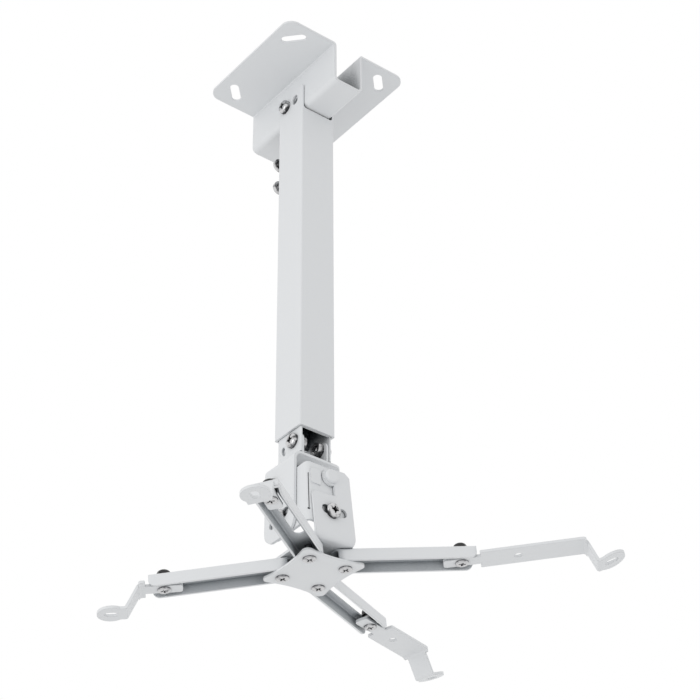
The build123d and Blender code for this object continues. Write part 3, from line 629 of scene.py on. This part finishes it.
@dataclass(frozen=True)
class PhotoCamera:
    """Camera at the photo's viewing angle."""

    azimuth: float = CAMERA_AZIMUTH
    elevation: float = CAMERA_ELEVATION
    roll: float = CAMERA_ROLL

    def axes(self) -> tuple[Vector, Vector, Vector]:
        """Return the camera's right, up and back axes."""
        flat = math.cos(self.elevation)
        rise = math.sin(self.elevation)
        back = Vector((math.sin(self.azimuth) * flat, -math.cos(self.azimuth) * flat, rise))
        level = Vector((0, 0, 1)).cross(back).normalized()
        upright = back.cross(level)
        turn, lean = math.cos(self.roll), math.sin(self.roll)
        return turn * level + lean * upright, turn * upright - lean * level, back

    def build(self) -> bpy.types.Object:
        """Create the camera and return it."""
        right, up, back = self.axes()
        data = bpy.data.cameras.new("photo_camera")
        data.sensor_width = SENSOR_MM
        data.lens = CAMERA_FOCAL_PX / IMAGE_SIDE_PX * SENSOR_MM
        data.clip_start = 0.01
        camera = bpy.data.objects.new("photo_camera", data)
        place = CAMERA_SHIFT_X * right + CAMERA_SHIFT_Y * up + CAMERA_DISTANCE * back
        camera.matrix_world = Matrix.Translation(place * MM) @ Matrix((right, up, back)).transposed().to_4x4()
        bpy.context.scene.collection.objects.link(camera)
        bpy.context.scene.camera = camera
        return camera


@dataclass(frozen=True)
class Lamp:
    """Soft square lamp that points at the mount: side in metres, power in watts."""

    name: str
    place: Point
    side: float
    power: float
    aim: Point = (0.0, 0.0, -0.25)

    def build(self) -> bpy.types.Object:
        """Hang the lamp and return it."""
        data = bpy.data.lights.new(self.name, "AREA")
        data.size = self.side
        data.energy = self.power
        lamp = bpy.data.objects.new(self.name, data)
        lamp.location = self.place
        lamp.rotation_euler = (Vector(self.place) - Vector(self.aim)).to_track_quat("Z", "Y").to_euler()
        bpy.context.scene.collection.objects.link(lamp)
        return lamp


@dataclass(frozen=True)
class Studio:
    """Pale floor, white surroundings and soft lamps."""

    floor_z: float = -3.4
    floor_side: float = 6.0
    surround_strength: float = 0.80
    floor_dark: Colour = (0.84, 0.84, 0.84)
    floor_light: Colour = (0.88, 0.88, 0.88)
    floor_scale: float = 3.0
    floor_roughness: float = 0.9
    lamps: tuple[Lamp, ...] = (
        Lamp("left_lamp", (-1.3, -0.1, -0.4), 0.9, 2.8),
        Lamp("low_lamp", (0.1, -0.3, -1.5), 1.5, 0.9),
    )

    def world(self) -> None:
        """Make the surroundings: white where they are seen, a plain level where they light."""
        world = bpy.data.worlds.new("surroundings")
        bpy.context.scene.world = world
        world.use_nodes = True
        nodes = NodeTree(world.node_tree)
        path = nodes.add("LightPath")
        seen = nodes.math("MAXIMUM", path.outputs["Is Camera Ray"], path.outputs["Is Glossy Ray"])
        seen = nodes.math("MAXIMUM", seen, path.outputs["Is Transmission Ray"])
        strength = nodes.span(seen, self.surround_strength, 1.0)
        background = nodes.add("Background", None, Color=(1.0, 1.0, 1.0, 1.0), Strength=strength)
        output = nodes.add("OutputWorld")
        nodes.put(output, "Surface", background.outputs["Background"])

    def floor(self) -> bpy.types.Object:
        """Lay the pale floor and return it."""
        half = self.floor_side / 2
        mesh = bpy.data.meshes.new("studio_floor")
        corners = [(-half, -half, 0), (half, -half, 0), (half, half, 0), (-half, half, 0)]
        mesh.from_pydata(corners, [], [(0, 1, 2, 3)])
        material = bpy.data.materials.new("studio_floor")
        material.use_nodes = True
        nodes = NodeTree(material.node_tree)
        place = nodes.add("TexCoord")
        cloud = nodes.add("TexNoise", None, Vector=place.outputs["Object"], Scale=self.floor_scale)
        colour = nodes.ramp(cloud.outputs["Fac"], ((0.0, self.floor_dark), (1.0, self.floor_light)))
        paper = nodes.add("BsdfPrincipled", None, Base_Color=colour, Roughness=self.floor_roughness)
        output = nodes.add("OutputMaterial")
        nodes.put(output, "Surface", paper.outputs["BSDF"])
        mesh.materials.append(material)
        floor = bpy.data.objects.new("studio_floor", mesh)
        floor.location = (0, 0, self.floor_z)
        bpy.context.scene.collection.objects.link(floor)
        return floor

    def build(self) -> None:
        """Make the whole studio."""
        self.world()
        self.floor()
        for lamp in self.lamps:
            lamp.build()


def main() -> None:
    """Dress the mount, build its added detail and set up the picture."""
    logging.basicConfig(level=logging.INFO)
    groups: list[SubAssembly] = [CeilingGroup(), ColumnGroup(), FootGroup(), HeadGroup(), DeckGroup()]
    groups += [ArmGroup(name=name) for name in ARM_NAMES]
    for group in groups:
        group.build()
        group.dress()
    Studio().build()
    PhotoCamera().build()
    bpy.context.scene.view_settings.view_transform = "Standard"


if __name__ == "__main__":
    main()
